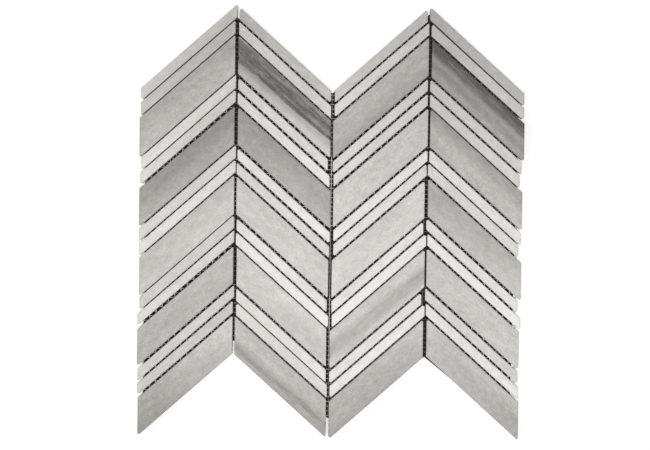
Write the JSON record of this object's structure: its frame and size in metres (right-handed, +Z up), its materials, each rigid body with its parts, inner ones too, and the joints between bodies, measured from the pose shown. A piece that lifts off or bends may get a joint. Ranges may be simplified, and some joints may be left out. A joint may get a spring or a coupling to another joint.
{
  "type": "chevron mosaic tile",
  "caption": "Mesh-mounted sheet of honed marble mosaic: grey chips and pale strips in V-jointed chevron columns with open grout joints.",
  "frame": {"origin": "on the floor, under the middle of the sheet", "axes": "+Z up out of the honed face; +Y up the columns, towards the peaks; +X to the right across the columns, seen from the face"},
  "size_m": [0.2712, 0.3045, 0.0101],
  "materials": {
    "grey_marble": "honed",
    "pale_marble": "honed",
    "glass_mesh": "resin coated"
  },
  "bodies": {
    "root": {"strip_pair_col1_row1": "pale_marble", "wide_chip_col1_row1": "grey_marble", "strip_pair_col1_row2": "pale_marble", "wide_chip_col1_row2": "grey_marble", "strip_pair_col1_row3": "pale_marble", "wide_chip_col1_row3": "grey_marble", "strip_pair_col1_row4": "pale_marble", "wide_chip_col1_row4": "grey_marble", "strip_pair_col1_row5": "pale_marble", "wide_chip_col1_row5": "grey_marble", "strip_pair_col2_row1": "pale_marble", "wide_chip_col2_row1": "grey_marble", "strip_pair_col2_row2": "pale_marble", "wide_chip_col2_row2": "grey_marble", "strip_pair_col2_row3": "pale_marble", "wide_chip_col2_row3": "grey_marble", "strip_pair_col2_row4": "pale_marble", "wide_chip_col2_row4": "grey_marble", "strip_pair_col2_row5": "pale_marble", "wide_chip_col2_row5": "grey_marble", "strip_pair_col3_row1": "pale_marble", "wide_chip_col3_row1": "grey_marble", "strip_pair_col3_row2": "pale_marble", "wide_chip_col3_row2": "grey_marble", "strip_pair_col3_row3": "pale_marble", "wide_chip_col3_row3": "grey_marble", "strip_pair_col3_row4": "pale_marble", "wide_chip_col3_row4": "grey_marble", "strip_pair_col3_row5": "pale_marble", "wide_chip_col3_row5": "grey_marble", "strip_pair_col4_row1": "pale_marble", "wide_chip_col4_row1": "grey_marble", "strip_pair_col4_row2": "pale_marble", "wide_chip_col4_row2": "grey_marble", "strip_pair_col4_row3": "pale_marble", "wide_chip_col4_row3": "grey_marble", "strip_pair_col4_row4": "pale_marble", "wide_chip_col4_row4": "grey_marble", "strip_pair_col4_row5": "pale_marble", "wide_chip_col4_row5": "grey_marble", "mesh_warp": "glass_mesh", "mesh_weft": "glass_mesh"}
  },
  "joints": []
}
